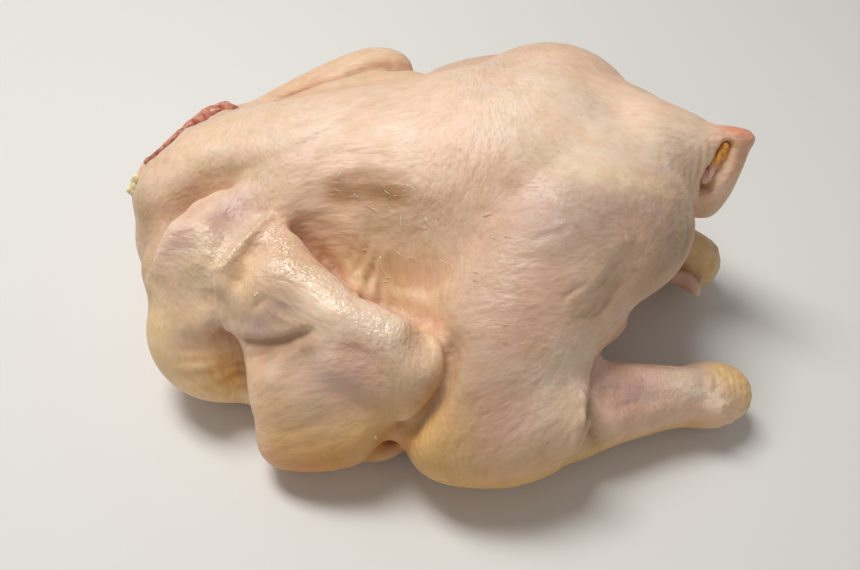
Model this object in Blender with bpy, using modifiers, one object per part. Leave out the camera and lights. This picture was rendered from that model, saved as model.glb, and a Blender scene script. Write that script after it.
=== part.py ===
"""A whole raw chicken, plucked and drawn, lying on its breast with its back up.

The bird is one piece, so it is one solid. It is modelled the way it is put together: a
barrel of a torso, the breast lobes that it lies on, a neck end, hips, thighs, drumsticks,
wings and a tail, each as a loft or an ellipsoid. They are fused by a voxel remesh, softened
as skin softens muscle, creased where the skin folds, cut flat where the bird lies on its
breast, and thinned to a light faceted solid.

Frame: metres, +Z up, the neck end towards -X and the tail towards +X. The bird lies on
z = 0, and the origin is at the middle of its footprint. Its left side faces -Y.
"""

import math

import bmesh
import bpy
import numpy as np
from mathutils import Matrix, Vector

NODE = "chicken"
MM = 0.001

# Driving dimensions, in millimetres.
FUSE_VOXEL = 2.2  # the remesh that fuses the forms into one skin
SOFTEN_ROUNDS = 9  # rounds of smoothing after it
CREASED_ROUNDS = 2  # rounds of smoothing after the folds are sunk
RING_SIDES = 28  # corners of a loft's ring
RINGS_PER_SPAN = 4  # rings between two stations of a loft
TRIANGLES = 9800  # the finished solid
FLOOR_SNAP = 0.35  # a corner this near the floor lies on it

SKIN = (0.79, 0.62, 0.49, 1.0)


def clear_scene():
    for thing in list(bpy.data.objects):
        bpy.data.objects.remove(thing)


def skin_material():
    material = bpy.data.materials.new("raw_skin")
    material.use_nodes = True
    shader = material.node_tree.nodes["Principled BSDF"]
    shader.inputs["Base Color"].default_value = SKIN
    shader.inputs["Roughness"].default_value = 0.35
    shader.inputs["Metallic"].default_value = 0.0
    return material


# ---------------------------------------------------------------- shapes


def smooth_path(stations, share, span):
    """A Catmull-Rom point at this share of one span between two stations (rows of numbers)."""
    rows = [stations[min(max(span + step, 0), len(stations) - 1)] for step in (-1, 0, 1, 2)]
    before, start, end, after = (np.array(row, float) for row in rows)
    bend = 2 * before - 5 * start + 4 * end - after
    turn = 3 * start - before - 3 * end + after
    return start + share * ((end - before) + share * (bend + share * turn)) / 2


def loft(stations, lean=(0, 0, 1), blunt=False):
    """A closed limb. A station is x, y, z, half width and half height, in millimetres.

    The half height runs along lean, made square to the limb, and the half width across it.
    Both ends are rounded past the last stations, unless the far one is blunt.
    """
    rows = [
        smooth_path(stations, part / RINGS_PER_SPAN, span)
        for span in range(len(stations) - 1)
        for part in range(RINGS_PER_SPAN)
    ]
    rows.append(np.array(stations[-1], float))
    rows = rounded_end(rows[0], rows[1])[::-1] + rows
    if not blunt:
        rows += rounded_end(rows[-1], rows[-2])
    centres = [Vector(row[:3]) for row in rows]
    mesh = bmesh.new()
    rings = []
    for index, row in enumerate(rows):
        behind = centres[max(index - 1, 0)]
        ahead = centres[min(index + 1, len(rows) - 1)]
        along = (ahead - behind).normalized()
        across = Vector(lean).cross(along).normalized()
        up = along.cross(across)
        frame = Matrix((across * row[3], up * row[4], along)).transposed().to_4x4()
        frame.translation = centres[index]
        ring = bmesh.ops.create_circle(mesh, segments=RING_SIDES, radius=1, matrix=frame)
        rings.append(ring["verts"])
    for near, far in zip(rings, rings[1:]):
        edges = [edge for ring in (near, far) for edge in ring_edges(ring)]
        bmesh.ops.bridge_loops(mesh, edges=edges)
    bmesh.ops.holes_fill(mesh, edges=[e for e in mesh.edges if e.is_boundary])
    return finished(mesh)


def rounded_end(last, before):
    """Rings that close a limb in a dome past its last ring."""
    outward = last[:3] - before[:3]
    outward /= np.linalg.norm(outward)
    reach = min(last[3], last[4])
    dome = []
    for turn in (25, 50, 70, 84):
        angle = math.radians(turn)
        centre = last[:3] + outward * reach * math.sin(angle)
        dome.append(np.concatenate([centre, last[3:] * math.cos(angle)]))
    return dome


def ring_edges(ring):
    members = set(ring)
    return {edge for vert in ring for edge in vert.link_edges if edge.other_vert(vert) in members}


def muscle(centre, radii, turn=(0, 0, 0)):
    """An ellipsoid, in millimetres, turned by these degrees about X, Y and Z."""
    mesh = bmesh.new()
    spin = Matrix.Rotation(math.radians(turn[2]), 4, "Z")
    spin @= Matrix.Rotation(math.radians(turn[1]), 4, "Y")
    spin @= Matrix.Rotation(math.radians(turn[0]), 4, "X")
    frame = Matrix.Translation(centre) @ spin @ Matrix.Diagonal((*radii, 1))
    bmesh.ops.create_uvsphere(mesh, u_segments=32, v_segments=20, radius=1, matrix=frame)
    return finished(mesh)


def finished(mesh):
    """The bmesh as an object in metres, with its faces pointing out."""
    bmesh.ops.recalc_face_normals(mesh, faces=mesh.faces)
    bmesh.ops.scale(mesh, vec=(MM, MM, MM), verts=mesh.verts)
    data = bpy.data.meshes.new("form")
    mesh.to_mesh(data)
    mesh.free()
    form = bpy.data.objects.new("form", data)
    bpy.context.scene.collection.objects.link(form)
    return form


# ---------------------------------------------------------------- the bird's forms


def torso():
    """The barrel of the body, the breast it lies on, the shoulders and the neck end."""
    neck = [
        (-100, 5, 57, 22, 20),
        (-90, 8, 59, 27, 25),
        (-72, 8, 60, 34, 31),
        (-50, 6, 60, 40, 36),
    ]
    barrel = [
        (-74, 4, 50, 38, 38),
        (-58, 5, 50, 45, 43),
        (-36, 5, 50, 49, 48),
        (-5, 4, 51, 52, 51),
        (28, 3, 55, 57, 54),
        (55, 4, 60, 54, 50),
        (76, 3, 66, 46, 40),
        (90, 1, 73, 32, 28),
        (101, 0, 78, 19, 18),
    ]
    return [
        loft(neck),
        loft(barrel),
        muscle((-82, -44, 31), (31, 28, 32)),
        muscle((-82, 40, 32), (29, 28, 30)),
        muscle((-45, -25, 26), (58, 36, 30)),
        muscle((-45, 26, 26), (58, 36, 30)),
        muscle((-85, -29, 53), (28, 24, 26)),
        muscle((-80, 30, 54), (26, 24, 24)),
        muscle((-60, 0, 38), (62, 40, 42)),
        muscle((-8, -54, 34), (36, 24, 26)),
        muscle((-44, -58, 24), (36, 22, 28)),
        muscle((-44, 60, 26), (36, 22, 30)),
        muscle((-10, 58, 38), (34, 24, 30)),
        muscle((76, 14, 78), (36, 23, 22), turn=(0, 14, -20)),
    ]


def tail():
    """The tail: a wedge whose rear edge stands up, with its tip at the top."""
    root = [
        (86, 0, 80, 28, 23),
        (98, -1, 80, 18, 19),
        (108, -4, 76, 12, 17),
    ]
    edge = [
        (112, -11, 60, 7, 9),
        (113, -9, 68, 9, 11),
        (114, -7, 77, 9, 12),
        (118, -5, 86, 7, 10),
        (122, -4, 91, 4, 6),
    ]
    return [loft(root), loft(edge, lean=(1, 0, 0.1))]


def near_wing():
    """The bird's left wing: upper arm back to the elbow, forearm forward and down to the wrist."""
    upper = [
        (-80, -28, 52, 19, 23),
        (-64, -42, 58, 20, 20),
        (-46, -54, 59, 18, 18),
        (-28, -65, 57, 15, 15),
        (-13, -74, 53, 12, 12),
        (-2, -78, 50, 8, 8),
    ]
    forearm = [
        (-5, -77, 46, 9, 8),
        (-14, -81, 41, 16, 11),
        (-32, -86, 33, 20, 12),
        (-48, -88, 26, 18, 12),
        (-58, -87, 19, 14, 12),
    ]
    tip = [
        (-60, -84, 12, 11, 9),
        (-48, -83, 10, 12, 8),
        (-28, -80, 8, 11, 7),
        (-19, -79, 8, 8, 5),
    ]
    web = [
        (-68, -71, 39, 17, 6),
        (-60, -74, 42, 20, 9),
        (-48, -77, 44, 19, 12),
        (-34, -78, 45, 16, 12),
        (-22, -78, 46, 12, 11),
    ]
    return [
        loft(upper),
        loft(forearm, lean=(0.2, -0.6, 0.75)),
        loft(tip),
        loft(web, lean=(-0.15, -0.64, 0.78)),
    ]


def far_wing():
    """The bird's right wing, its elbow lifted behind the back."""
    upper = [
        (-80, 30, 54, 19, 20),
        (-62, 44, 61, 15, 15),
        (-40, 54, 69, 13, 14),
        (-20, 58, 77, 13, 12),
        (-11, 58, 78, 11, 10),
    ]
    forearm = [
        (-11, 61, 75, 9, 9),
        (-19, 69, 63, 16, 12),
        (-38, 79, 44, 20, 13),
        (-52, 85, 27, 17, 12),
        (-60, 87, 18, 12, 11),
    ]
    tip = [
        (-62, 85, 11, 11, 8),
        (-48, 83, 9, 12, 8),
        (-28, 80, 8, 11, 7),
        (-19, 78, 8, 8, 5),
    ]
    web = [
        (-74, 69, 36, 19, 5),
        (-66, 71, 40, 21, 8),
        (-52, 72, 48, 20, 10),
        (-36, 71, 56, 16, 11),
        (-24, 67, 62, 12, 10),
    ]
    return [
        loft(upper),
        loft(forearm, lean=(0.2, 0.6, 0.75)),
        loft(tip),
        loft(web, lean=(-0.15, 0.64, 0.78)),
    ]


def near_leg():
    thigh = [
        (60, -14, 72, 34, 32),
        (48, -34, 64, 37, 36),
        (30, -58, 50, 34, 33),
        (16, -77, 38, 30, 29),
        (6, -87, 30, 24, 24),
    ]
    cuff = [
        (8, -88, 29, 26, 25),
        (26, -88, 30, 27, 26),
        (41, -86, 31, 23, 24),
        (51, -83, 31, 19, 20),
    ]
    drumstick = [
        (20, -88, 27, 24, 28.5),
        (42, -87, 24, 19, 25),
        (62, -82, 21, 15, 18),
        (82, -78, 19, 12.5, 14),
        (98, -75, 18, 12, 13),
        (108, -74, 17, 14, 15),
        (115, -73, 16, 13, 14),
    ]
    return [
        loft(thigh),
        loft(cuff, blunt=True),
        loft(drumstick),
        muscle((59, -28, 70), (43, 36, 32)),
    ]


def far_leg():
    thigh = [
        (58, 14, 70, 34, 32),
        (50, 34, 60, 38, 35),
        (34, 56, 48, 37, 32),
        (18, 72, 37, 30, 28),
        (10, 80, 30, 23, 23),
    ]
    drumstick = [
        (18, 78, 27, 24, 28.5),
        (38, 68, 25, 22, 26),
        (58, 52, 22, 17, 19),
        (80, 32, 19, 13, 14),
        (100, 15, 18, 11, 12),
        (112, 4, 18, 13, 14),
        (121, -3, 17, 13, 14),
    ]
    return [
        loft(thigh),
        loft(drumstick),
        muscle((52, 32, 64), (42, 36, 40)),
    ]


# ---------------------------------------------------------------- folds of the skin

# Each fold is a line over the skin, its width and how deep it sinks, in millimetres.
FOLDS = [
    # near side: armpit, neck side, patagium, under the wing, wing on thigh
    ([(-52, -33, 77), (-42, -38, 74), (-28, -46, 68), (-13, -58, 62), (0, -70, 62)], 4.5, 6),
    ([(-102, -26, 68), (-94, -18, 77), (-82, -14, 84), (-70, -14, 88)], 8, 5),
    ([(-66, -70, 50), (-55, -72, 54), (-43, -74, 58), (-30, -76, 60)], 4, 2.5),
    ([(-88, -66, 48), (-79, -68, 46), (-76, -74, 32)], 6, 6),
    ([(4, -80, 64), (1, -86, 58), (-5, -94, 48), (-17, -98, 34), (-20, -97, 18)], 5, 6),
    # the flank behind the wing, the groove over the thigh, the edge of the thigh's skin
    ([(-34, -30, 82), (-8, -38, 78)], 17, 5),
    ([(70, -59, 83), (65, -65, 77), (57, -72, 70)], 5, 3),
    ([(62, -76, 44), (60, -90, 42), (53, -106, 26), (50, -104, 10)], 3.5, 4),
    # the back over the hips, and the valley between them
    ([(24, -33, 96), (44, -43, 98), (72, -47, 93), (92, -36, 86)], 6, 1.5),
    ([(40, 42, 98), (32, 26, 106), (24, 12, 108)], 8, 2.5),
    # the cut in the tail
    ([(107, -17, 80), (111, -15, 86), (116, -12, 89)], 3.5, 4),
    # far side: armpit, patagium, wing on thigh, groove over the thigh
    ([(-54, 38, 80), (-38, 42, 84), (-20, 44, 86), (-6, 50, 84)], 5, 6),
    ([(-70, 70, 46), (-57, 73, 54), (-43, 74, 62), (-30, 73, 70)], 5, 4),
    ([(-6, 70, 72), (-8, 82, 56), (-16, 94, 38), (-22, 96, 20)], 5, 6),
    ([(68, 56, 76), (64, 64, 68), (56, 72, 56)], 5, 3),
]
FOLD_REACH = 3  # a fold fades out within this many widths


def distance_to_path(points, path):
    """The distance of each point from a line through these corners."""
    corners = np.array(path, float)
    nearest = np.full(len(points), np.inf)
    for start, end in zip(corners, corners[1:]):
        along = end - start
        share = np.clip((points - start) @ along / (along @ along), 0, 1)
        gap = np.linalg.norm(points - start - share[:, None] * along, axis=1)
        nearest = np.minimum(nearest, gap)
    return nearest


def crease(body):
    """Sinks the skin along each fold, along its own normals."""
    count = len(body.data.vertices)
    for path, width, depth in FOLDS:
        points = np.empty(count * 3)
        normals = np.empty(count * 3)
        body.data.vertices.foreach_get("co", points)
        body.data.vertices.foreach_get("normal", normals)
        points = points.reshape(-1, 3) / MM
        normals = normals.reshape(-1, 3)
        gap = distance_to_path(points, path) / width
        sunk = np.where(gap < FOLD_REACH, depth * np.exp(-gap * gap), 0)
        points -= normals * sunk[:, None]
        body.data.vertices.foreach_set("co", (points * MM).ravel())
        body.data.update()


# ---------------------------------------------------------------- fusing and finishing


def joined(forms):
    bpy.ops.object.select_all(action="DESELECT")
    for form in forms:
        form.select_set(True)
    bpy.context.view_layer.objects.active = forms[0]
    bpy.ops.object.join()
    body = bpy.context.object
    body.name = NODE
    body.data.name = NODE
    return body


def bake(body):
    """Replaces the object's mesh by what its modifiers make of it."""
    graph = bpy.context.evaluated_depsgraph_get()
    made = bpy.data.meshes.new_from_object(body.evaluated_get(graph))
    body.modifiers.clear()
    body.data = made
    return body


def fuse(body, soften_rounds):
    remesh = body.modifiers.new("fuse", "REMESH")
    remesh.mode = "VOXEL"
    remesh.voxel_size = FUSE_VOXEL * MM
    smooth = body.modifiers.new("soften", "SMOOTH")
    smooth.factor = 0.5
    smooth.iterations = soften_rounds
    return bake(body)


def lay_flat(body):
    """Cuts the underside off at the floor, where the bird's weight flattens it."""
    mesh = bmesh.new()
    mesh.from_mesh(body.data)
    parts = [*mesh.verts, *mesh.edges, *mesh.faces]
    bmesh.ops.bisect_plane(mesh, geom=parts, plane_co=(0, 0, 0), plane_no=(0, 0, -1), clear_outer=True)
    bmesh.ops.holes_fill(mesh, edges=[e for e in mesh.edges if e.is_boundary])
    bmesh.ops.triangulate(mesh, faces=mesh.faces)
    mesh.to_mesh(body.data)
    mesh.free()


def thin_out(body):
    decimate = body.modifiers.new("thin_out", "DECIMATE")
    decimate.ratio = TRIANGLES / len(body.data.polygons)
    return bake(body)


def settle(body):
    """Puts the lowest corners on the floor, and the origin at the middle of the footprint."""
    corners = [vert.co for vert in body.data.vertices]
    for corner in corners:
        if corner.z < FLOOR_SNAP * MM:
            corner.z = 0
    middle_x = (min(corner.x for corner in corners) + max(corner.x for corner in corners)) / 2
    middle_y = (min(corner.y for corner in corners) + max(corner.y for corner in corners)) / 2
    body.data.transform(Matrix.Translation((-middle_x, -middle_y, 0)))


def main():
    clear_scene()
    forms = torso() + tail() + near_wing() + far_wing() + near_leg() + far_leg()
    body = fuse(joined(forms), SOFTEN_ROUNDS)
    crease(body)
    fuse(body, CREASED_ROUNDS)
    lay_flat(body)
    thin_out(body)
    settle(body)
    body.data.materials.clear()
    body.data.materials.append(skin_material())
    body.data.shade_smooth()


main()
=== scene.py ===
"""A whole raw chicken lying on its breast: wet skin with its folds, follicles and quills."""

import math
import random

import bpy
import numpy as np
from mathutils import Matrix, Vector


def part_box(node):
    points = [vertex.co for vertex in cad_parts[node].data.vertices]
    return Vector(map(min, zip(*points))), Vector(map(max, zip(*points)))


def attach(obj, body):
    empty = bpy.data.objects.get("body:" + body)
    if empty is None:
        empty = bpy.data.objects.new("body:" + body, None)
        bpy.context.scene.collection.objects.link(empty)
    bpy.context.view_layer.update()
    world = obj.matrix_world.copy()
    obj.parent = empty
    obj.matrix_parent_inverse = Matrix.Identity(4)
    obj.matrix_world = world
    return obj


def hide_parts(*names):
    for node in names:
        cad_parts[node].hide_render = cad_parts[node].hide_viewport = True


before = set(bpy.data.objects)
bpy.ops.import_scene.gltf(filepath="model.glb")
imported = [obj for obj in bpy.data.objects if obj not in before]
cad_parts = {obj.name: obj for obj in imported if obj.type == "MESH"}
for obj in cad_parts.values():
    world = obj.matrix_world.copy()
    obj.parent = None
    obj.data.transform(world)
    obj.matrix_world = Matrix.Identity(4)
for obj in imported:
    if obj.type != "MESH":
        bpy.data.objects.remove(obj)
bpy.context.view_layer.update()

BODY = "root"
NODE = "chicken"
MM = 0.001
random.seed(7)


# ------------------------------------------------------------------ tools for modelling


def deselect():
    bpy.ops.object.select_all(action="DESELECT")


def only(piece):
    """Makes this the one selected object, and the active one."""
    deselect()
    piece.select_set(True)
    bpy.context.view_layer.objects.active = piece
    return piece


def modified(piece, kind, **settings):
    """Adds a modifier with these settings and applies it."""
    only(piece)
    modifier = piece.modifiers.new(kind.lower(), kind)
    for name, value in settings.items():
        setattr(modifier, name, value)
    bpy.ops.object.modifier_apply(modifier=modifier.name)
    return piece


def joined(pieces, name):
    """One object from several."""
    deselect()
    for piece in pieces:
        piece.select_set(True)
    bpy.context.view_layer.objects.active = pieces[0]
    bpy.ops.object.join()
    whole = bpy.context.object
    whole.name = name
    whole.data.name = name
    return whole


def blob(centre, radii, turn=(0, 0, 0)):
    """An ellipsoid, in millimetres, turned by these degrees, with its place in its mesh."""
    deselect()
    bpy.ops.mesh.primitive_uv_sphere_add(segments=32, ring_count=16, radius=1)
    piece = bpy.context.object
    piece.scale = [radius * MM for radius in radii]
    piece.rotation_euler = [math.radians(angle) for angle in turn]
    piece.location = [place * MM for place in centre]
    bpy.ops.object.transform_apply(location=True, rotation=True, scale=True)
    return piece


def limb(stations):
    """A rounded arm through these places, each given as x, y, z and radius in millimetres."""
    parts = [blob(station[:3], [station[3]] * 3) for station in stations]
    for first, second in zip(stations, stations[1:]):
        start, end = Vector(first[:3]) * MM, Vector(second[:3]) * MM
        along = end - start
        deselect()
        bpy.ops.mesh.primitive_cone_add(vertices=32, radius1=first[3] * MM, radius2=second[3] * MM,
                                        depth=along.length, location=(start + end) / 2,
                                        rotation=along.to_track_quat("Z", "Y").to_euler())
        parts.append(bpy.context.object)
    return joined(parts, "limb")


def smooth(piece):
    piece.data.shade_smooth()
    return piece


# ------------------------------------------------------------------ the sculpted skin


class Clay:
    """A fine mesh whose points are pushed about in millimetres."""

    def __init__(self, piece):
        self.piece = piece
        mesh = piece.data
        self.count = len(mesh.vertices)
        self.points = np.empty(self.count * 3)
        mesh.vertices.foreach_get("co", self.points)
        self.points = self.points.reshape(-1, 3) / MM
        edges = np.empty(len(mesh.edges) * 2, int)
        mesh.edges.foreach_get("vertices", edges)
        self.edges = edges.reshape(-1, 2)
        self.links = np.bincount(self.edges.ravel(), minlength=self.count)[:, None]
        self.marks = {}

    def put(self):
        self.piece.data.vertices.foreach_set("co", (self.points * MM).ravel())
        self.piece.data.update()

    def normals(self):
        self.put()
        normals = np.empty(self.count * 3)
        self.piece.data.vertex_normals.foreach_get("vector", normals)
        return normals.reshape(-1, 3)

    def spread(self, values, rounds):
        """Averages values over neighbours, this many times."""
        values = values.reshape(self.count, -1).astype(float)
        first, second = self.edges.T
        for _ in range(rounds):
            total = np.zeros_like(values)
            for column in range(values.shape[1]):
                total[:, column] = np.bincount(first, values[second, column], self.count)
                total[:, column] += np.bincount(second, values[first, column], self.count)
            values = (values + total / self.links) / 2
        return values

    def near(self, path):
        """The distance of each point from a line, and how far along it the nearest spot is."""
        corners = np.array(path, float).reshape(-1, 3)
        if len(corners) == 1:
            gap = np.linalg.norm(self.points - corners[0], axis=1)
            return gap, np.zeros(self.count), self.points - corners[0]
        nearest = np.full(self.count, np.inf)
        place = np.zeros(self.count)
        away = np.zeros((self.count, 3))
        for index, (start, end) in enumerate(zip(corners, corners[1:])):
            along = end - start
            share = np.clip((self.points - start) @ along / (along @ along), 0, 1)
            offset = self.points - start - share[:, None] * along
            gap = np.linalg.norm(offset, axis=1)
            closer = gap < nearest
            nearest[closer] = gap[closer]
            place[closer] = index + share[closer]
            away[closer] = offset[closer]
        return nearest, place / (len(corners) - 1), away

    def push(self, path, width, height):
        """Raises the skin along a line, or sinks it where the height is negative."""
        gap, _, _ = self.near(path)
        lift = height * np.exp(-((gap / width) ** 2))
        self.points += self.normals() * lift[:, None]

    def pleat(self, path, width, depth, pinch=0.35):
        """A crease with a tight bottom: sunk, and drawn together from both sides."""
        gap, place, away = self.near(path)
        fade = np.sin(np.pi * np.clip(place, 0.03, 0.97)) ** 0.5
        share = np.exp(-((gap / width) ** 2)) * fade
        normals = self.normals()
        level = away - normals * np.sum(away * normals, axis=1)[:, None]
        self.points -= normals * (depth * share)[:, None]
        self.points -= level * (pinch * share)[:, None]

    def ripple(self, centre, radius, across, spacing, height, seed=0.0):
        """Fine wrinkles in a round region. They run square to across."""
        gap, _, _ = self.near([centre])
        inside = np.exp(-((gap / radius) ** 2))
        across = np.array(across, float) / np.linalg.norm(across)
        run = self.points @ across
        bend = np.sin(self.points @ np.array([0.11, 0.07, 0.13]) + seed) * 0.9
        bend += np.sin(self.points @ np.array([-0.05, 0.21, 0.09]) + 2 * seed) * 0.6
        wave = np.sin(2 * np.pi * run / spacing + 2 * bend + seed)
        broken = 0.5 + 0.5 * np.sin(self.points @ np.array([0.23, -0.17, 0.19]) + 3 * seed)
        self.points += self.normals() * (height * inside * wave * broken)[:, None]

    def drag(self, path, width, way):
        """Moves the skin near a line by this much, less and less further away."""
        gap, _, _ = self.near(path)
        self.points += np.exp(-((gap / width) ** 2))[:, None] * np.array(way, float)

    def step(self, path, side, width, lift, rise, fall, sharp=1.2):
        """A ledge along a line: one bank is lifted, the bank on the given side is lowered."""
        gap, place, away = self.near(path)
        side = np.array(side, float) / np.linalg.norm(side)
        lift = np.array(lift, float) / np.linalg.norm(lift)
        past = 0.5 + 0.5 * np.tanh((away @ side) / sharp)
        fade = np.clip(4 * place, 0, 1) * np.clip(4 * (1 - place), 0, 1)
        fade = fade * fade * (3 - 2 * fade)
        share = np.exp(-((gap / width) ** 2)) * fade
        self.points += (share * (rise * (1 - past) - fall * past))[:, None] * lift

    def flatten(self, centre, radius, facing, strength=0.8):
        """Presses a round patch towards a plane through its middle."""
        gap, _, _ = self.near([centre])
        facing = np.array(facing, float) / np.linalg.norm(facing)
        height = (self.points - np.array(centre, float)) @ facing
        share = strength * np.clip(1.6 - 1.6 * gap / radius, 0, 1)
        self.points -= (share * height)[:, None] * facing

    def bumps(self, path, width, spacing, height, seed=0.0):
        """Rounded goose bumps of this spacing near a line."""
        gap, _, _ = self.near(path)
        inside = np.exp(-((gap / width) ** 2))
        wave = np.ones(self.count)
        for turn in (0.0, 2.1, 4.2):
            way = np.array([math.cos(turn + seed), math.sin(turn + seed), 0.7 * math.sin(2 * turn + seed)])
            wave += np.sin(self.points @ way * (2 * math.pi / spacing) + 5 * turn)
        self.points += self.normals() * (height * inside * np.clip(wave / 2, -0.5, 1))[:, None]

    def relax(self, path, width, rounds):
        """Smooths the skin near a line."""
        gap, _, _ = self.near(path)
        share = np.exp(-((gap / width) ** 2))[:, None]
        self.points = self.points * (1 - share) + self.spread(self.points, rounds) * share

    def mark(self, name, path, width, strength=1.0):
        """Adds a soft patch round a line or a spot to a named mask."""
        gap, _, _ = self.near(path)
        patch = strength * np.exp(-((gap / width) ** 2))
        kept = self.marks.get(name, np.zeros(self.count))
        self.marks[name] = 1 - (1 - kept) * (1 - patch)

    def hollows(self):
        """Where the skin is sunk (above 0) or stands out (below 0), in tenths of a millimetre."""
        normals = self.normals()
        wide = self.spread(self.points, 12)
        return self.spread(np.sum((wide - self.points) * normals, axis=1), 2)[:, 0]

    def store(self, name, values):
        layer = self.piece.data.attributes.new(name, "FLOAT", "POINT")
        layer.data.foreach_set("value", np.asarray(values, np.float32))


# ------------------------------------------------------------------ shader tools


class Value:
    """A shader socket that can be used in sums. Numbers and other values mix freely."""

    def __init__(self, paint, socket):
        self.paint = paint
        self.socket = socket

    def maths(self, operation, *others):
        return self.paint.add("ShaderNodeMath", {"operation": operation}, *others)

    def __add__(self, other):
        return self.maths("ADD", self, other)

    def __sub__(self, other):
        return self.maths("SUBTRACT", self, other)

    def __mul__(self, other):
        return self.maths("MULTIPLY", self, other)

    def __truediv__(self, other):
        return self.maths("DIVIDE", self, other)

    def __pow__(self, other):
        return self.maths("POWER", self, other)

    def __radd__(self, other):
        return self.maths("ADD", other, self)

    def __rsub__(self, other):
        return self.maths("SUBTRACT", other, self)

    def __rmul__(self, other):
        return self.maths("MULTIPLY", other, self)

    def between(self, low, high):
        """0 at low, 1 at high, smooth in between."""
        settings = {"interpolation_type": "SMOOTHSTEP"}
        return self.paint.add("ShaderNodeMapRange", settings, self, low, high, 0.0, 1.0)


class Paint:
    """A material, and the ways to add nodes to it."""

    def __init__(self, name):
        self.material = bpy.data.materials.new(name)
        self.material.use_nodes = True
        self.tree = self.material.node_tree
        self.shader = next(node for node in self.tree.nodes if node.type == "BSDF_PRINCIPLED")

    def fill(self, socket, value):
        if isinstance(value, Value):
            self.tree.links.new(value.socket, socket)
        elif isinstance(value, (tuple, list)) and len(value) == 3 and len(socket.default_value) == 4:
            socket.default_value = (*value, 1)
        else:
            socket.default_value = value

    def add(self, kind, settings, *values, out=0, **named):
        """Adds a node. Settings come first, then its inputs in order or by name."""
        node = self.tree.nodes.new(kind)
        for name, setting in settings.items():
            setattr(node, name, setting)
        for socket, value in zip(node.inputs, values):
            self.fill(socket, value)
        for name, value in named.items():
            self.fill(node.inputs[name.replace("_", " ")], value)
        return Value(self, node.outputs[out])

    def mask(self, name):
        return self.add("ShaderNodeAttribute", {"attribute_name": name}, out=2)

    def tint(self, name):
        return self.add("ShaderNodeAttribute", {"attribute_name": name}, out=0)

    def vector(self, name):
        return self.add("ShaderNodeAttribute", {"attribute_name": name}, out=1)

    def place(self):
        return self.add("ShaderNodeTexCoord", {}, out=3)

    def stretched(self, place, scale, turn=(0, 0, 0)):
        """Coordinates for a pattern that is longer one way than another."""
        turn = [math.radians(angle) for angle in turn]
        return self.add("ShaderNodeMapping", {}, place, (0, 0, 0), turn, scale)

    def noise(self, place, scale, detail=3.0, roughness=0.5, distortion=0.0):
        return self.add("ShaderNodeTexNoise", {}, Vector=place, Scale=scale, Detail=detail,
                        Roughness=roughness, Distortion=distortion)

    def cells(self, place, scale, feature="F1", randomness=1.0):
        return self.add("ShaderNodeTexVoronoi", {"feature": feature}, Vector=place, Scale=scale,
                        Randomness=randomness)

    def mix(self, share, first, second, blend="MIX"):
        """Two colours mixed: all of the first at 0, all of the second at 1."""
        node = self.tree.nodes.new("ShaderNodeMix")
        node.data_type = "RGBA"
        node.blend_type = blend
        self.fill(node.inputs[0], share)
        self.fill(node.inputs[6], first)
        self.fill(node.inputs[7], second)
        return Value(self, node.outputs[2])

    def bump(self, height, strength, distance, below=None):
        values = {"Strength": strength, "Distance": distance, "Height": height}
        if below is not None:
            values["Normal"] = below
        return self.add("ShaderNodeBump", {}, **values)

    def set(self, **named):
        for name, value in named.items():
            self.fill(self.shader.inputs[name.replace("_", " ")], value)
        return self.material


# ------------------------------------------------------------------ the skin's shape, in millimetres

COARSE_STEP = 1.8
FINE_STEP = 1.65
FOLD_DEPTH = 0.8
UPPER_ARM = [(-62, -36, 67, 11), (-43, -60, 65, 10.5), (-22, -69, 60, 11), (-16, -76, 53, 11)]
ARM_EDGE = [(-55, -31, 76), (-51, -35, 75), (-47, -39, 74), (-43, -44, 73), (-39, -50, 73), (-35, -55, 72),
            (-31, -57, 71), (-26, -58, 70), (-21, -61, 68), (-16, -63, 67), (-12, -64, 66), (-8, -69, 65)]
ARCH = [(-92, -56, 55), (-88, -56, 54), (-84, -56, 53), (-80, -58, 49), (-78, -61, 44), (-77, -62, 35),
        (-77, -64, 24), (-77, -66, 14)]
KNOB = [(-83, -44, 68, 5), (-77, -38, 72.5, 5), (-71, -28, 73.5, 5), (-65, -25, 73, 5.5),
        (-60, -31, 72, 6.5), (-57, -42, 71, 7), (-61, -50, 69, 6)]
DRUMSTICK = [(50, -69, 33, 10), (60, -70.5, 30, 10), (74, -70, 28, 9.5), (90, -70, 26, 9)]
FAR_HOCK = [(108, 3, 26, 8), (116, 1, 25, 7), (119, 0, 22, 6)]
HOCK_FLAP = [(98, -13, 27, 3.6), (106, -13, 24, 4.4), (112, -14, 18.5, 3.4), (115, -15.5, 13, 1.6)]
TAIL_FLESH = [(108.2, -1.2, 89.5, 1.6), (106.3, -3.2, 86.2, 2.0), (104.3, -5.6, 82.8, 1.5),
              (102.3, -8, 79.2, 1.4)]
LEG_FLESH = [(60, -56, 44, 4.5), (65, -53, 47, 4)]
WING_TIP = [(-34, -84, 14, 6), (-26, -83, 11, 5), (-19, -80, 9, 3.4)]
FAR_BLADE = [(-62, 43, 70, 9), (-44, 47, 76, 9.5), (-26, 49, 78, 9.5), (-10, 47, 81, 9)]
WRIST = [(-42, -72, 56, 9), (-28, -77, 52, 9), (-18, -80, 46, 9)]
TAIL_TIP = [(98, 4, 90, 6), (109, 2.5, 91, 5.2), (117, 1, 90.5, 4.6)]
TAIL_SLIT = [(109, -1.5, 91), (106.5, -4, 87.5), (104.5, -6, 84), (102, -8.5, 80), (102.5, -10, 75)]
TAIL_LIP = [(105.5, -1, 92), (103, -4, 88.5), (100.5, -7, 84), (98, -10, 80), (98, -11, 75)]
TAIL_RIM = [(111, -1, 93), (113, -3, 90), (112.5, -6, 85), (110, -9, 79), (107, -10.5, 74)]
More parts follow.
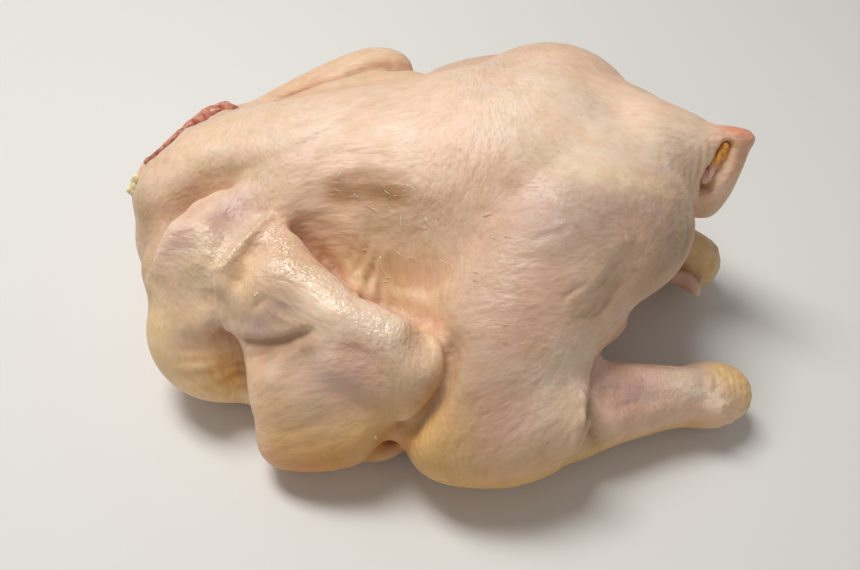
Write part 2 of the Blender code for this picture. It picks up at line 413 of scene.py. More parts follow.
ARMPIT = [(-57, -22, 72), (-54, -25, 69), (-49, -28, 67), (-42, -35, 64), (-33, -50, 68), (-26, -46, 58),
          (-17, -50, 57), (-9, -56, 57), (-5, -66, 60)]
ELBOW_EDGE = [(-5, -66, 60), (-5, -71, 60), (-5, -76, 57), (-10, -82, 49), (-16, -85, 43), (-22, -86, 35),
              (-28, -90, 33)]
OVERHANG = [(-42, -13, 88), (-34, -15, 88), (-25, -16, 90), (-14, -19, 90), (-7, -23, 90)]
HOLLOW = [(-38, -18, 84), (-30, -18, 86), (-21, -21, 85)]
THIGH_EDGE = [(52, -70, 62), (52, -72, 56), (51, -75, 49), (49, -81, 47), (46, -88, 49), (45, -93, 46),
              (43, -98, 39), (39, -102, 31), (31, -105, 24)]
HIP_GROOVE = [(61, -50, 83), (58, -52, 82), (54, -55, 80), (51, -59, 78), (47, -62, 77), (42, -66, 75)]
HOCK_EDGE = [(98, -64, 33), (102, -68, 31), (101, -74, 29), (107, -78, 25), (110, -80, 18)]
KNOB_RIDGE = [(-84, -43, 71), (-81, -41, 74), (-77, -37, 76), (-73, -32, 77), (-69, -25, 76), (-66, -22, 76)]
KNOB_EDGE = [(-61, -23, 74), (-57, -25, 70), (-55, -30, 69), (-55, -44, 77), (-59, -51, 76), (-66, -54, 73)]
SHOULDER_EDGE = [(-113, -40, 60), (-109, -33, 67), (-105, -25, 72), (-102, -15, 72), (-97, -9, 73),
                 (-89, -7, 76), (-80, -6, 79), (-72, -5, 82)]
NECK_RIDGE = [(-118, 16, 72), (-112, 17, 76), (-108, 23, 77), (-103, 27, 79), (-98, 37, 75), (-89, 39, 78)]
BACK_CREASE = [(-62, 2, 91), (-52, 3, 93), (-40, 8, 96), (-30, 18, 98), (-22, 22, 99), (-10, 24, 101)]
SHOULDER_VALLEY = [(-113, -32, 60), (-112, -25, 62), (-111, -18, 63), (-108, -11, 63), (-105, -6, 66),
                   (-100, -3, 69), (-95, -2, 72)]
SHOULDER_CREST = [(-113, -35, 57), (-111, -33, 62), (-107, -33, 70), (-105, -30, 75), (-101, -27, 78),
                  (-99, -20, 77), (-96, -12, 75), (-92, -7, 74), (-86, -7, 76)]
ELBOW_SHADOW = [(-2, -68, 60), (-2, -74, 56), (-3, -80, 53), (-6, -85, 48), (-10, -88, 43), (-15, -90, 36)]
ELBOW_CREST = [(-8, -67, 62), (-7, -70, 61), (-6.5, -75, 58), (-8, -79, 54.5), (-11, -83, 50),
               (-15, -86, 46), (-20, -88, 41)]
THIGH_MARGIN = [(53, -69, 60), (53, -69, 52), (52, -71, 45), (50, -77, 43), (47, -86, 45), (45, -93, 45),
                (43, -97, 38), (40, -101, 32)]
OVERHANG_EDGE = [(-44, -15, 87), (-38, -13, 90), (-32, -13, 91), (-25, -15, 92), (-18, -17, 93),
                 (-12, -20, 92)]
WING_CREASE = [(-64, 50, 76), (-57, 52, 79), (-51, 52, 82), (-44, 53, 84), (-36, 56, 84), (-27, 58, 86),
               (-19, 60, 85)]
SHOULDER_BAND = [(-89, -16, 79), (-91, -21, 80), (-91, -27, 80), (-90, -33, 78), (-86, -38, 75)]
ARM_SLIT = [(-56, -25, 74), (-54, -27, 69), (-48, -30, 65), (-43, -35, 62), (-37, -43, 61), (-31, -48, 59),
            (-22, -49, 57), (-13, -55, 57)]
SHEET_EDGE = [(-79, -57, 52), (-76, -58, 54), (-69, -61, 56), (-61, -64, 61), (-53, -65, 66), (-46, -67, 71)]
KNOB_CREST = [(-85, -42, 72), (-82, -42, 74), (-78, -37, 76), (-74, -32, 78), (-70, -26, 78), (-66, -22, 78)]


def sculpted_skin():
    """The solid's shape in one fine mesh, with its folds and hollows pressed in."""
    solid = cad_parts[NODE]
    deselect()
    piece = bpy.data.objects.new("chicken_skin", solid.data.copy())
    bpy.context.collection.objects.link(piece)
    piece.data.materials.clear()
    only(piece)
    bpy.ops.object.mode_set(mode="EDIT")
    bpy.ops.mesh.select_all(action="SELECT")
    bpy.ops.mesh.remove_doubles(threshold=0.00001)
    bpy.ops.object.mode_set(mode="OBJECT")
    masses = [limb(stations) for stations in (UPPER_ARM, KNOB, TAIL_TIP, DRUMSTICK, FAR_HOCK, HOCK_FLAP,
                                              LEG_FLESH, WING_TIP, WRIST, FAR_BLADE)]
    piece = joined([piece] + masses, "chicken_skin")
    modified(piece, "REMESH", mode="VOXEL", voxel_size=COARSE_STEP * MM)
    clay = Clay(piece)
    clay.points = clay.spread(clay.points, 5)
    large_forms(clay)
    clay.put()
    modified(piece, "REMESH", mode="VOXEL", voxel_size=FINE_STEP * MM)
    clay = Clay(piece)
    clay.points = clay.spread(clay.points, 3)
    large_folds(clay)
    clay.put()
    finer(clay, DETAILED)
    clay = Clay(piece)
    small_folds(clay)
    flatten_base(clay)
    clay.put()
    return clay


def finer(clay, lines):
    """Splits the faces near these lines, so that smaller detail can be worked in."""
    mesh = clay.piece.data
    chosen = np.zeros(clay.count, bool)
    for path, reach in lines:
        chosen |= clay.near(path)[0] < reach
    picked = [all(chosen[corner] for corner in face.vertices) for face in mesh.polygons]
    only(clay.piece)
    bpy.ops.object.mode_set(mode="EDIT")
    bpy.ops.mesh.select_mode(type="FACE")
    bpy.ops.mesh.select_all(action="DESELECT")
    bpy.ops.object.mode_set(mode="OBJECT")
    mesh.polygons.foreach_set("select", picked)
    bpy.ops.object.mode_set(mode="EDIT")
    bpy.ops.mesh.subdivide(number_cuts=1)
    bpy.ops.object.mode_set(mode="OBJECT")


DETAILED = [(ARMPIT, 9), (ARM_EDGE, 6), (KNOB_RIDGE, 11), (KNOB_EDGE, 9), (TAIL_SLIT, 11), (THIGH_EDGE, 9),
            ([(104, -64, 28), (115, -70, 20)], 14), ([(-78, -58, 56), (-48, -68, 60)], 10),
            (HIP_GROOVE, 7), (OVERHANG_EDGE, 5), (ELBOW_SHADOW, 6)]


def large_forms(clay):
    clay.drag([(115, -1, 90)], 7, (1, 0, 1.6))
    clay.drag([(115, -8, 76), (109, -10, 66)], 6, (-1, 0, 1))
    clay.drag([(96, -10, 63), (104, -11, 62), (110, -9, 66)], 6, (0, 0, 3.4))
    clay.drag([(-93, -24, 76)], 14, (0, 0, 2))
    clay.step(SHOULDER_EDGE, (-0.6, 0.8, 0), 10, (0, -0.3, 1), 2, 8)
    clay.step(ARM_EDGE, (0.6, 0.6, -0.2), 7, (0, -0.2, 1), 1, 4)
    clay.push([(-77, -46, 70), (-74, -42, 74), (-71, -37, 76)], 4, -2.6)
    clay.step(ELBOW_EDGE, (1, 0, -0.3), 6, (-0.3, -0.7, 0.6), 1.5, 4)
    clay.step(ARCH, (-1, 0.1, 0), 9, (0, -1, 0.3), 1, 9)


RIDGES = [
    ([(-101, -26, 77), (-93, -24, 79), (-89, -28, 78), (-88, -35, 76), (-90, -39, 73)], 3.5, 0.9),
    (KNOB_CREST, 1.6, 1.5),
    ([(-85, -42, 73), (-85, -46, 69), (-85, -48, 63), (-84, -52, 58), (-83, -54, 53)], 1.2, 1.0),
    ([(-75, -58, 53), (-70, -60, 55), (-64, -61, 59), (-60, -62, 62)], 2.4, 1.0),
    ([(-66, -75, 50), (-61, -71, 54), (-55, -68, 58), (-51, -68, 61), (-46, -69, 64)], 4, 1.6),
    ([(-62, -18, 80), (-59, -21, 77), (-57, -23, 74)], 2, 0.7),
    ([(-84, 2, 85), (-74, 2, 88)], 9, 0.8),
    ([(-101, -41, 68), (-101, -46, 60), (-99, -52, 53)], 2.5, 0.5),
    ([(50, -91, 38), (54, -90, 35)], 1.8, 1.2),
    ([(74, -81, 29), (88, -80, 27), (99, -80, 25), (106, -79, 24)], 3.5, 1.2),
    ([(60, -86, 30), (68, -85, 25), (78, -84, 22)], 4, 0.8),
]
FURROWS = [
    ([(-94, -32, 77), (-97, -36, 74)], 5, 1.2),
    ([(-83, -23, 79), (-80, -19, 80)], 5, 1.4),
    ([(-90, -45, 66), (-90, -50, 60)], 5, 1.4),
    ([(-82, -46, 67), (-81, -51, 61), (-80, -55, 56)], 1.8, 0.9),
    ([(-62, -59, 66), (-60, -57, 71)], 7, 1.6),
    ([(-72, -56, 66), (-69, -56, 70), (-66, -56, 73)], 1.8, 1.2),
    ([(-76, -64, 47), (-71, -64, 50), (-66, -66, 54)], 1.6, 0.9),
    ([(-74, -70, 44), (-69, -68, 49), (-64, -67, 54)], 1.6, 0.8),
    ([(-40, -74, 65), (-35, -74, 66), (-29, -77, 64)], 1.8, 0.8),
    ([(-57, -24, 75), (-54, -27, 70), (-49, -30, 66), (-44, -34, 63)], 1.4, 1.8),
    ([(-37, -31, 65), (-35, -37, 61), (-34, -42, 60)], 1.3, 0.9),
    ([(-33, -32, 64), (-31, -38, 61), (-29, -43, 59)], 1.3, 0.9),
    ([(-30, -33, 64), (-27, -39, 61), (-26, -45, 58)], 1.2, 0.8),
    ([(-22, -35, 65), (-20, -41, 60), (-18, -47, 58)], 1.4, 0.9),
    ([(-16, -38, 64), (-14, -44, 60)], 1.2, 0.6),
    ([(-91, -62, 38), (-88, -63, 32), (-84, -62, 26)], 1.6, 1.3),
    ([(-95, -63, 32), (-90, -64, 26), (-86, -64, 20)], 1.6, 1.3),
    ([(-99, -62, 30), (-94, -64, 23), (-90, -64, 16)], 1.6, 1.1),
    ([(-85, -62, 36), (-82, -62, 30)], 1.6, 0.8),
    ([(-108, -42, 60), (-112, -34, 62)], 3, 0.8),
    ([(50, -90, 34), (52, -92, 28), (54, -92, 22)], 4, 3.0),
    ([(48, -88, 43), (48, -91, 40)], 2.5, 1.8),
    ([(59, -67, 37), (60, -70, 37), (57, -79, 38), (54, -85, 37)], 1.2, 0.8),
    ([(62, -67, 37), (63, -74, 37), (59, -82, 36)], 1.2, 0.7),
    ([(56, -69, 38), (55, -78, 39), (52, -84, 39)], 1.2, 0.7),
    ([(55, -85, 36), (62, -82, 34), (71, -78, 32), (80, -77, 30), (92, -76, 27), (101, -76, 27)], 1.8, 1.1),
    ([(66, -68, 36), (80, -66, 34), (92, -66, 33)], 1.6, 0.5),
    ([(104, -62, 31), (108, -69, 29), (107, -75, 26)], 1.2, 0.8),
    ([(109, -62, 29), (113, -69, 26), (111, -76, 23)], 1.2, 0.8),
    ([(113, -62, 25), (117, -69, 21), (115, -76, 17)], 1.2, 0.8),
    ([(62, -55, 77), (58, -60, 74), (54, -64, 71)], 2, 1.0),
    ([(66, -52, 79), (64, -57, 75)], 1.6, 0.8),
    ([(47, -68, 70), (52, -65, 69), (57, -60, 71)], 1.4, 0.9),
    ([(36, -67, 79), (41, -64, 81), (47, -61, 82)], 1.4, 0.7),
    ([(42, -70, 72), (48, -67, 72)], 1.3, 0.7),
    ([(-90, 0, 78), (-80, -1, 82), (-70, -2, 87), (-60, -2, 91)], 2.5, 0.6),
    ([(89, -27, 85), (89, -37, 81), (85, -44, 76), (77, -51, 69)], 2, 0.5),
    ([(85, -32, 87), (84, -40, 83), (79, -46, 79), (72, -52, 73)], 2, 0.4),
    ([(33, -19, 102), (40, -23, 101), (50, -28, 101), (62, -33, 99), (75, -35, 93)], 3, 0.8),
]


def large_folds(clay):
    clay.pleat(ARMPIT, 3.5, 3)
    clay.push(OVERHANG, 6, 1.6)
    clay.push(HOLLOW, 7, -2)
    clay.push(NECK_RIDGE, 4, 1.5)
    clay.push(SHOULDER_VALLEY, 5, -0.9)
    clay.push(SHOULDER_CREST, 3, 1.2)
    clay.push(ELBOW_SHADOW, 3.6, -1.3)
    clay.push(ARM_SLIT, 3, -2.4)
    clay.flatten((-14, -71, 62), 10, (0.27, -0.42, 0.87), 0.6)
    clay.step(SHEET_EDGE, (0.1, -0.6, -0.8), 4.5, (0, -0.7, 0.7), 1.2, 2.6, 0.9)
    clay.push([(-77, -45, 71), (-75, -41, 73), (-73, -37, 75)], 3, -1.2)
    clay.step(THIGH_EDGE, (1, 0, -0.3), 5.5, (0.4, -0.6, 0.7), 1.2, 2.6, 0.8)
    clay.push(HIP_GROOVE, 4, -0.5)
    clay.step(BACK_CREASE, (0.5, -0.85, 0), 6, (0, 0, 1), 0.9, 0.9, 1.6)


def small_folds(clay):
    for path, width, height in RIDGES:
        clay.push(path, width, height)
    for path, width, depth in FURROWS:
        clay.pleat(path, width, depth)
    clay.pleat(HIP_GROOVE, 1.8, 1.0)
    clay.relax(ELBOW_SHADOW, 4.5, 10)
    clay.push(ELBOW_CREST, 2.2, 1.5)
    clay.step(OVERHANG_EDGE, (0, -1, -0.4), 4.5, (0, 0.2, 1), 0.7, 1.3, 0.8)
    clay.step(THIGH_MARGIN, (1, 0, -0.2), 3.4, (0.5, -0.6, 0.6), 1.2, 1.6, 0.5)
    clay.pleat(WING_CREASE, 2, 1.3)
    clay.step(HOCK_EDGE, (1, 0, -0.3), 4, (0, -0.4, 0.9), 0.5, 0.7, 0.6)
    clay.bumps([(109, -66, 28), (116, -72, 20)], 8, 2.6, 0.35)
    clay.bumps([(116, -66, 24), (118, -75, 16)], 6, 4.3, 0.55, 2)
    clay.bumps([(104, -80, 24), (108, -80, 16)], 5, 6, 0.8, 1)
    clay.bumps([(112, 2, 32), (121, -4, 24), (112, -8, 18)], 10, 3, 0.4)
    clay.bumps([(122, 2, 26), (119, -8, 16)], 5, 5, 0.8, 3)
    clay.bumps([(47, -86, 47), (44, -94, 42), (40, -101, 32)], 5, 4, 0.7)
    clay.bumps([(-122, 10, 64), (-110, 12, 76), (-100, 6, 78)], 13, 4.5, 0.3)
    clay.bumps([(-28, -36, 66), (-30, -14, 87)], 15, 3.6, 0.16)
    clay.ripple((56, -60, 74), 9, (0.6, -0.6, 0.6), 4, 0.25, 1)
    clay.push(TAIL_RIM, 2.2, 1.0)
    clay.push(TAIL_LIP, 2.4, 1.2)
    clay.push(TAIL_SLIT, 2.4, -4.2)
    clay.push([(107.5, -3, 88)], 1.6, 1.8)
    clay.push([(105, -6, 85)], 1.3, 1.2)
    clay.push([(104, -8.5, 81.5)], 1.2, 1.6)
    clay.push([(101, -9, 79)], 1.2, -1.5)
    clay.push([(103.5, -9.5, 75)], 1.4, -1.6)
    clay.bumps([(97, -4, 88), (95, -9, 80)], 9, 3.4, 0.55)
    clay.ripple((-28, -38, 62), 16, (1, -0.3, 0), 5, 0.5, 1)
    clay.ripple((-88, -60, 32), 16, (0, 0.4, 1), 6, 0.5, 2)
    clay.ripple((85, -38, 78), 16, (0.3, -1, 1), 5, 0.35, 3)
    clay.ripple((-95, 25, 75), 20, (1, -1, 0), 6, 0.4, 4)


def flatten_base(clay):
    """Nothing goes below the table or outside the solid's box."""
    low, high = (np.array(corner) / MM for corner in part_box(NODE))
    clay.points = np.clip(clay.points, low, high)


# ------------------------------------------------------------------ the skin's colours

PEACH = (0.84, 0.60, 0.43)
PALE = (0.93, 0.73, 0.57)
WAXY = (0.96, 0.80, 0.64)
CREAM = (0.88, 0.70, 0.48)
SAND = (0.76, 0.55, 0.34)
TAN = (0.72, 0.46, 0.24)
# A dull brown used only to paint shade into valleys, hollows and under overhangs.
PAINTED_SHADE = (0.54, 0.36, 0.22)
MAUVE = (0.58, 0.37, 0.29)
LILAC = (0.66, 0.43, 0.40)
PINK = (0.93, 0.64, 0.54)
ROSE = (0.78, 0.43, 0.32)
RUST = (0.50, 0.20, 0.09)
OCHRE = (0.76, 0.47, 0.14)
AMBER = (0.66, 0.30, 0.05)
YOLK = (0.94, 0.64, 0.20)
APRICOT = (0.96, 0.66, 0.40)
MIST = (0.72, 0.57, 0.47)
STRAW = (0.90, 0.64, 0.28)
MEAT = (0.46, 0.13, 0.10)
SLATE = (0.50, 0.355, 0.295)
CORAL = (0.84, 0.32, 0.20)

WASHES = [
    (PALE, [(-40, 10, 100), (13, 8, 107), (40, 10, 105)], 30, 0.7),
    (PALE, [(13, 8, 107), (57, -5, 103), (82, -10, 97)], 26, 0.9),
    (CREAM, [(-106, 3, 75), (-95, 20, 80)], 22, 0.6),
    (SAND, [(-58, 50, 78), (-32, 58, 84), (-10, 55, 86)], 12, 0.7),
    (ROSE, [(-57, 50, 79), (-48, 53, 82)], 4, 0.5),
    # Painted shade along the valley between the shoulder and the neck.
    (PAINTED_SHADE, SHOULDER_VALLEY, 5.5, 0.5),
    (MIST, [(-108, 19, 79), (-98, 27, 81), (-86, 34, 84), (-74, 40, 84)], 6, 0.6),
    (LILAC, [(-62, -4, 90), (-54, -6, 91)], 8, 0.35),
    (PALE, [(-112, 5, 72), (-98, 6, 80), (-88, 5, 84)], 8, 0.7),
    # Painted shade on the side of the neck, behind the shoulder's edge.
    (PAINTED_SHADE, [(-116, -4, 60), (-117, -16, 56), (-116, -28, 54)], 13, 0.75),
    (CREAM, [(-62, -11, 87), (-80, -5, 80)], 13, 0.6),
    (SLATE, [(40, -48, 92), (60, -44, 93), (78, -40, 87)], 17, 0.85),
    (SLATE, [(30, -36, 97), (55, -40, 96)], 12, 0.4),
    # Painted shade on the rear of the hip, which faces away from the lamp, and along the groove below the
    # hip.
    (PAINTED_SHADE, [(92, -36, 80), (76, -50, 74)], 12, 0.7),
    (PAINTED_SHADE, [(56, -58, 76), (46, -66, 72)], 8, 0.6),
    (ROSE, [(62, -55, 78), (57, -60, 72), (52, -65, 69)], 1.5, 0.5),
    (MAUVE, [(20, -45, 88), (10, -60, 82)], 20, 0.3),
    (CREAM, [(40, -22, 102), (50, -26, 102), (64, -28, 100), (78, -28, 95)], 5, 0.7),
    (PEACH, [(44, -60, 83), (64, -48, 85)], 8, 0.7),
    # Painted shade on the thigh under the overhanging elbow: the mauve is partly the thigh's own tone and
    # partly shade, the brown is shade.
    (MAUVE, [(21, -80, 69), (10, -92, 58)], 22, 0.6),
    (PAINTED_SHADE, [(1, -84, 56), (-4, -92, 46), (2, -98, 46)], 11, 0.7),
    (PAINTED_SHADE, [(4, -72, 64), (3, -80, 60)], 7, 0.45),
    (LILAC, [(14, -99, 50), (22, -97, 50)], 9, 0.4),
    (PALE, [(32, -88, 60), (44, -78, 62)], 13, 0.8),
    # Yellow on the low sides near the table: partly the yellow fat under the skin, partly painted yellow
    # bounce light.
    (OCHRE, [(-14, -96, 40), (-6, -105, 26), (14, -107, 20), (40, -100, 20)], 18, 0.9),
    (OCHRE, [(-10, 95, 24), (30, 100, 20), (60, 90, 16)], 18, 0.7),
    (MAUVE, [(20, 82, 66), (48, 58, 86)], 22, 0.45),
    # Yellow low on the far side: partly fat under the skin, partly painted yellow bounce light.
    (OCHRE, [(-60, 80, 24), (-44, 88, 22)], 14, 0.6),
    (LILAC, [(-52, 84, 50), (-44, 74, 64)], 9, 0.4),
    (LILAC, [(-99, -31, 75)], 8, 0.9),
    (LILAC, [(-85, -21, 79), (-79, -17, 80)], 9, 0.9),
    (PALE, SHOULDER_BAND, 3, 0.7),
    (MAUVE, [(-85, -26, 77)], 5, 0.5),
    (CREAM, [(-92, -42, 68), (-104, -50, 55)], 16, 0.5),
    (SAND, [(-72, -50, 71), (-58, -46, 76), (-50, -54, 74)], 12, 0.55),
    # Orange-brown painted shade in the channel beside the knob's crest.
    (APRICOT, [(-78, -46, 70), (-74, -40, 74), (-72, -52, 68)], 5, 0.6),
    (TAN, [(-77, -45, 71), (-75, -41, 73)], 2.5, 0.5),
    # Yellow on the lower breast: partly the yellow fat under the skin, partly painted yellow bounce light;
    # the brighter yellow under the wing is painted light lifting the shade there.
    (YOLK, [(-110, -48, 44), (-104, -60, 30), (-90, -63, 24)], 16, 0.4),
    (MAUVE, [(-102, -50, 60), (-98, -56, 50)], 8, 0.3),
    (YOLK, [(-92, -60, 34), (-86, -60, 30)], 10, 0.6),
    (MAUVE, [(-64, -61, 62), (-60, -56, 70)], 9, 0.6),
    (MAUVE, [(-66, -66, 54), (-58, -70, 57)], 7, 0.5),
    (LILAC, [(-70, -59, 58)], 5, 0.6),
    # Painted shade in the band under the crease of the wing's skin sheet.
    (PAINTED_SHADE, [(-75, -61, 51), (-66, -64, 53), (-58, -67, 58), (-52, -68, 61)], 4, 0.75),
    # Painted highlight: pale waxy streaks along the top and the edge of the upper arm, where the wet skin
    # glints.
    (WAXY, [(-44, -58, 74), (-30, -68, 72), (-22, -70, 70)], 9, 0.8),
    (WAXY, [(-56, -28, 76), (-47, -38, 74), (-38, -51, 73), (-28, -60, 71)], 3.5, 0.8),
    (LILAC, [(-45, -79, 56), (-36, -79, 58)], 10, 0.6),
    (MAUVE, [(-34, -78, 60), (-26, -80, 58)], 8, 0.5),
    (TAN, [(-22, -80, 60), (-12, -82, 56)], 8, 0.35),
    (PEACH, [(-15, -72, 64), (-10, -78, 60)], 9, 0.8),
    (APRICOT, [(-14, -66, 64), (-8, -70, 62)], 5, 0.5),
    (TAN, [(-10, -84, 52), (-20, -88, 42)], 8, 0.5),
    # Yellow and amber under the forearm and the wing tip: partly the yellow fat under the skin, partly
    # painted yellow bounce light.
    (OCHRE, [(-60, -88, 34), (-38, -92, 32)], 15, 0.7),
    (AMBER, [(-46, -97, 22), (-62, -95, 12), (-30, -93, 22)], 14, 0.95),
    (AMBER, [(-34, -84, 12), (-19, -80, 9)], 7, 0.8),
    (LILAC, [(-62, -90, 42), (-50, -90, 44)], 10, 0.3),
    # Painted shade in the hollow under the back's overhanging edge.
    (TAN, [(-40, -17, 86), (-28, -18, 86), (-18, -20, 86)], 5, 0.9),
    (PAINTED_SHADE, [(-36, -16, 85), (-24, -18, 85)], 4, 0.5),
    (PAINTED_SHADE, [(-30, -25, 79), (-18, -27, 78)], 7, 0.6),
    (TAN, [(-42, -32, 66), (-30, -36, 63), (-20, -40, 62)], 9, 0.85),
    (ROSE, [(-50, -24, 77), (-38, -29, 70)], 5, 0.35),
    (CREAM, [(-50, -24, 76), (-42, -28, 72)], 6, 0.5),
    (SAND, [(-20, -34, 68), (-10, -40, 66), (-6, -50, 62)], 12, 0.4),
    (RUST, [(-56, -25, 73), (-53, -27, 69), (-48, -30, 65), (-42, -35, 62)], 2.4, 0.95),
    (RUST, ARM_SLIT, 2.4, 0.6),
    # Painted shade in the groove under the elbow's edge.
    (PAINTED_SHADE, ELBOW_SHADOW, 2.2, 0.85),
    (RUST, WING_CREASE, 1.6, 0.5),
    (ROSE, [(-48, 60, 78), (-30, 64, 80), (-14, 64, 82)], 5, 0.35),
    (TAN, [(-90, 0, 78), (-78, -1, 83), (-62, -2, 91)], 2.5, 0.35),
    (PINK, [(56, -80, 38), (75, -74, 36), (90, -72, 33)], 14, 0.9),
    (LILAC, [(62, -76, 38), (70, -76, 36)], 6, 0.5),
    (ROSE, [(70, -82, 30), (96, -79, 26)], 3, 0.4),
    # Painted shade in the hollow beside the thigh's edge.
    (PAINTED_SHADE, [(48, -86, 42), (50, -91, 33), (54, -92, 24)], 4.5, 0.85),
    (WAXY, [(86, -72, 34), (103, -76, 29)], 5, 0.6),
    # Yellow under the drumstick: partly the yellow fat under the skin, partly painted yellow bounce light.
    (OCHRE, [(52, -92, 16), (72, -86, 12), (95, -80, 12)], 9, 0.7),
    (STRAW, [(108, -64, 29), (115, -68, 26), (118, -74, 18)], 8, 0.95),
    (STRAW, [(112, 3, 32), (118, -2, 28), (124, -8, 20)], 14, 0.9),
    (MEAT, [(96, -15, 28), (106, -15, 25), (110, -13, 21)], 6, 0.95),
    (PINK, [(113, -15, 18), (115, -16, 12)], 3.5, 0.8),
    (CORAL, [(62, -56, 45), (66, -53, 48)], 5, 0.6),
    (APRICOT, [(113, -5, 86), (106, -12, 78)], 9, 0.95),
    (WAXY, [(111, -2, 93), (112, -5, 86), (109, -8, 80), (106, -11, 74)], 3.4, 0.7),
    (CORAL, [(115, -4, 88), (112, -9, 80)], 4, 0.35),
    (CORAL, [(112, 3, 95), (118, 2, 93)], 5, 0.95),
    (ROSE, [(117, -1, 88)], 5, 0.5),
    (YOLK, [(108.5, -2, 89), (106.5, -4, 86)], 2.6, 0.8),
    (AMBER, [(107, -1.5, 90), (104.5, -4, 86.5)], 1.7, 0.9),
    (LILAC, [(103, -7, 83), (101, -9, 78), (103, -10, 75)], 2.6, 0.8),
    (CORAL, [(98, -12, 66)], 2.2, 0.9),
]


def tinted(clay):
    """Colours laid over the skin in soft patches, among them painted shade, painted highlights and painted
    yellow bounce light.
    """
    tints = Tints(clay, PEACH)
    for colour, path, width, strength in WASHES:
        tints.lay(colour, path, width, strength)
    tints.store("tint")


class Tints:
    def __init__(self, clay, ground):
        self.clay = clay
        self.colour = np.tile(np.array(ground, float), (clay.count, 1))

    def lay(self, colour, path, width, strength=1.0):
        gap, _, _ = self.clay.near(path)
        share = strength * np.exp(-((gap / width) ** 2))[:, None]
        self.colour = self.colour * (1 - share) + np.array(colour) * share

    def store(self, name):
        layer = self.clay.piece.data.attributes.new(name, "FLOAT_COLOR", "POINT")
        flat = np.concatenate([self.colour, np.ones((self.clay.count, 1))], axis=1)
        layer.data.foreach_set("color", flat.astype(np.float32).ravel())


GRAINS = [
    ((-30, 10, 95), 40, (1, 0.2, 0)),
    ((-95, 10, 75), 28, (0.7, 0.7, 0)),
    ((60, -5, 100), 40, (1, -0.2, 0)),
    ((35, -50, 88), 28, (1, 0.15, 0.25)),
    ((15, -85, 65), 28, (0.9, -0.1, 0.45)),
    ((35, -92, 45), 25, (0.75, 0.1, 0.6)),
    ((85, -35, 80), 25, (0.2, -0.8, 0.7)),
    ((-22, -35, 65), 20, (0.25, -0.75, -0.6)),
    ((-28, -15, 86), 20, (0.8, -0.5, 0)),
    ((-45, -58, 72), 18, (0.65, -0.6, -0.1)),
    ((-45, -85, 42), 28, (0.85, -0.1, 0.45)),
    ((-100, -50, 50), 25, (0.3, -0.2, -0.9)),
    ((80, -70, 30), 22, (0.3, -0.3, 0.9)),
]
WET_PLACES = [
    ([(-50, -45, 77), (-40, -58, 74), (-30, -68, 72), (-22, -70, 68)], 7, 1.0),
    ([(-66, -27, 79), (-60, -36, 79), (-60, -46, 78)], 6, 1.0),
    ([(-82, -41, 75), (-77, -36, 78), (-70, -27, 79)], 4, 0.9),
    ([(-90, -40, 73), (-88, -30, 78)], 6, 0.7),
    ([(-84, -16, 80), (-76, -16, 80)], 5, 0.3),
    ([(-50, -72, 60), (-40, -72, 64)], 5, 0.8),
    ([(-60, -62, 66)], 6, 0.6),
    ([(30, -30, 99), (36, -32, 98)], 7, 0.3),
    ([(60, -78, 36), (75, -74, 34), (88, -70, 34)], 9, 0.9),
    ([(104, -77, 28)], 8, 0.9),
    ([(116, 1, 94)], 6, 1.0),
    ([(8, 22, 107), (18, 12, 108)], 9, 0.35),
    ([(12, -62, 80), (14, -85, 66), (22, -98, 50)], 20, 0.22),
    ([(40, -45, 93), (70, -40, 92)], 14, 0.2),
    ([(-17, 0, 100), (-24, 22, 99)], 6, 0.3),
]


def grain(clay):
    """Coordinates drawn out along the way the skin's fine wrinkles run, different on each part."""
    total = np.full((clay.count, 1), 1e-4)
    drawn = np.zeros((clay.count, 3))
    for centre, reach, way in GRAINS:
        away = clay.points - np.array(centre, float)
        share = np.exp(-(np.linalg.norm(away, axis=1) / reach) ** 2)[:, None]
        way = np.array(way, float) / np.linalg.norm(way)
        drawn += share * (away @ way)[:, None] * way
        total += share
    return (clay.points - 0.78 * drawn / total) * MM


